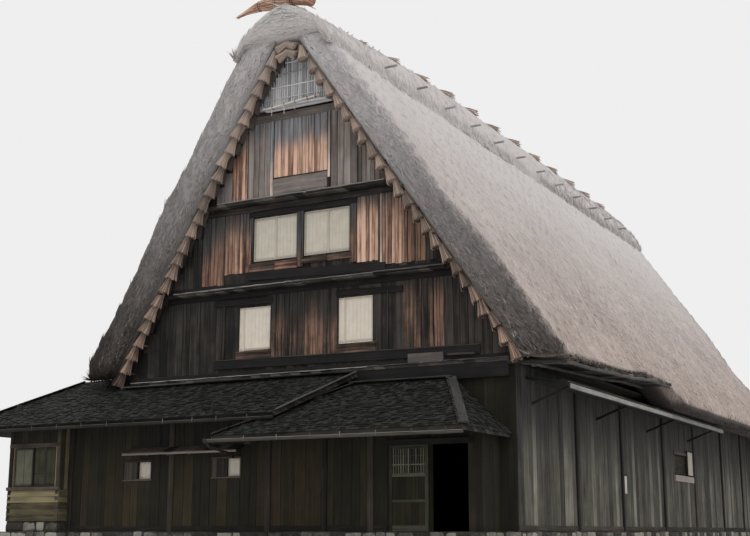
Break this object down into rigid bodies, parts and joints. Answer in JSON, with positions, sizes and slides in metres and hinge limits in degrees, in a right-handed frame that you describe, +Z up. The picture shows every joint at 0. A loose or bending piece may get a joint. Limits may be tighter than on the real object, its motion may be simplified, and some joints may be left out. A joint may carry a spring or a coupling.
{
  "type": "thatched minka farmhouse",
  "caption": "Steep thatched farmhouse with boarded gables in storeys, paper windows, hipped lean-to roofs and a sliding door at the front.",
  "frame": {"origin": "middle of the outline on the ground", "axes": "+Y runs along the ridge from the front gable to the back one, +Z is up, +X points to the right of the front gable"},
  "size_m": [17.25, 29.06, 14.27],
  "materials": {
    "thatch": "weathered reed thatch, matt",
    "reed": "cut reed bundles, matt",
    "straw": "straw, matt",
    "gable_board": "weathered upright boards",
    "floor_board": "grey weathered planks",
    "paper": "paper window",
    "shingle": "dark split-wood shingles",
    "wall_board": "dark upright boards",
    "frame_timber": "dark hewn timber",
    "bay_board": "grey lapped boards",
    "stone": "rough stone"
  },
  "bodies": {
    "house": {"thatch_left": "thatch", "thatch_right": "thatch", "verge_reeds_front_left": "reed", "verge_reeds_front_right": "reed", "verge_reeds_back_left": "reed", "verge_reeds_back_right": "reed", "ridge_cap": "straw", "ridge_roll": "straw", "gable_wall_front_low": "gable_board", "gable_wall_back_low": "gable_board", "gable_wall_front_middle": "gable_board", "gable_wall_back_middle": "gable_board", "gable_wall_front_high": "gable_board", "gable_wall_back_high": "gable_board", "gable_top_front": "gable_board", "gable_top_back": "gable_board", "attic_floor_lower": "floor_board", "attic_floor_middle": "floor_board", "attic_floor_upper": "floor_board", "ground_floor": "floor_board", "paper_window_front_low_left": "paper", "paper_window_back_low_left": "paper", "paper_window_front_middle_left": "paper", "paper_window_back_middle_left": "paper", "paper_window_front_low_right": "paper", "paper_window_back_low_right": "paper", "paper_window_front_middle_right": "paper", "paper_window_back_middle_right": "paper", "small_window_left": "paper", "small_window_right": "paper", "paper_window_bay": "paper", "barred_window_right": "paper", "lean_to_roof_front": "shingle", "entrance_roof": "shingle", "lean_to_roof_back": "shingle", "pent_roof_right": "shingle", "front_wall_left": "wall_board", "front_wall_over_door": "wall_board", "front_wall_right": "wall_board", "annex_wall": "wall_board", "right_wall": "wall_board", "left_wall": "wall_board", "back_wall": "wall_board", "front_beam_frame": "frame_timber", "back_beam": "frame_timber", "door_rail": "frame_timber", "pent_board_front": "frame_timber", "bay_wall": "bay_board", "stone_base": "stone"},
    "sliding_door": {"door_leaf": "wall_board"}
  },
  "joints": [
    {"name": "door_slide", "type": "slide", "parent": "house", "child": "sliding_door", "axis": [1, 0, 0], "range_m": [0, 1]}
  ]
}
